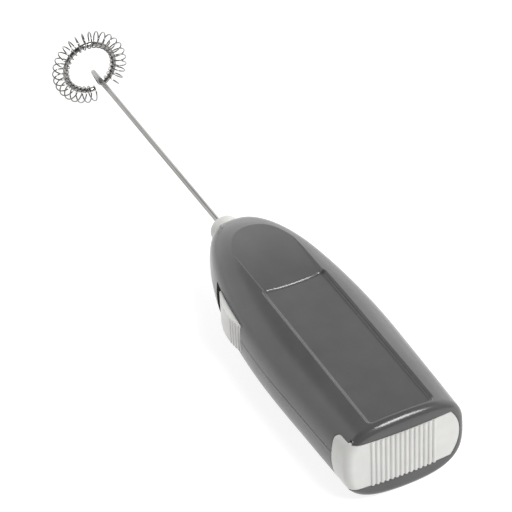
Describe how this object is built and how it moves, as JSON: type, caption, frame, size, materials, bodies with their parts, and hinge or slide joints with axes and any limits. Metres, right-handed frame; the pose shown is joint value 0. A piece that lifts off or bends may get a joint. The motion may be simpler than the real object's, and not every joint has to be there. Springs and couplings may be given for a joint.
{
  "type": "milk frother",
  "caption": "Hand-held battery milk frother: slim two-shell casing with a sunk front panel, ribbed slide-off battery cover, thumb switch, wire shaft and coiled whisk ring.",
  "frame": {"origin": "on the flat back, on the casing's centre line, 32 mm from the battery end", "axes": "+X across the casing towards the side without the switch, +Y along the casing towards the whisk, +Z from the flat back towards the front panel"},
  "size_m": [0.0386, 0.2152, 0.0272],
  "materials": {
    "casing_plastic": "glossy dark grey moulded plastic",
    "bush_plastic": "white moulded plastic, slightly glossy",
    "cover_plastic": "white moulded plastic with a soft gloss",
    "switch_plastic": "white moulded plastic with a soft gloss",
    "contact_metal": "nickel plated strip",
    "spring_wire": "nickel plated spring wire",
    "battery_jacket": "glossy shrink jacket, with bare metal ends",
    "carrier_plastic": "black moulded plastic",
    "copper_strip": "bare copper alloy strip",
    "motor_steel": "zinc plated drawn steel",
    "end_cap_plastic": "natural nylon",
    "ferrite": "dark grey ferrite",
    "bearing_bronze": "sintered bronze",
    "shaft_steel": "ground steel",
    "core_steel": "stacked laminations",
    "copper_wire": "enamelled copper wire",
    "copper_bar": "turned copper",
    "coupling_brass": "turned brass",
    "whisk_steel": "bright stainless wire",
    "coil_steel": "bright fine stainless wire"
  },
  "bodies": {
    "housing": {"front_shell": "casing_plastic", "back_shell": "casing_plastic", "nose_bush": "bush_plastic", "battery_left": "battery_jacket", "battery_right": "battery_jacket", "contact_carrier": "carrier_plastic", "battery_contact_positive": "contact_metal", "battery_contact_negative": "contact_metal", "battery_spring": "spring_wire", "switch_strip_battery": "copper_strip", "switch_strip_motor": "copper_strip", "motor_can": "motor_steel", "motor_end_cap": "end_cap_plastic", "motor_magnets": "ferrite", "motor_terminals": "copper_strip", "motor_brushes": "copper_strip", "motor_bush_front": "bearing_bronze", "motor_bush_rear": "bearing_bronze"},
    "rotor": {"motor_shaft": "shaft_steel", "armature_core": "core_steel", "armature_windings": "copper_wire", "commutator": "copper_bar", "shaft_coupling": "coupling_brass", "whisk_wire": "whisk_steel", "whisk_coil": "coil_steel"},
    "switch": {"switch_knob": "switch_plastic", "switch_wiper": "copper_strip"},
    "cover": {"battery_cover": "cover_plastic", "cover_contact_plate": "contact_metal", "cover_spring": "spring_wire"}
  },
  "joints": [
    {"name": "whisk_spin", "type": "hinge", "parent": "housing", "child": "rotor", "pos_m": [0, 0.067, 0.0141], "axis": [0, 1, 0], "continuous": true},
    {"name": "switch_slide", "type": "slide", "parent": "housing", "child": "switch", "axis": [0, 1, 0], "range_m": [0, 0.004]},
    {"name": "cover_slide", "type": "slide", "parent": "housing", "child": "cover", "axis": [-1, 0, 0], "range_m": [0, 0.045]}
  ]
}
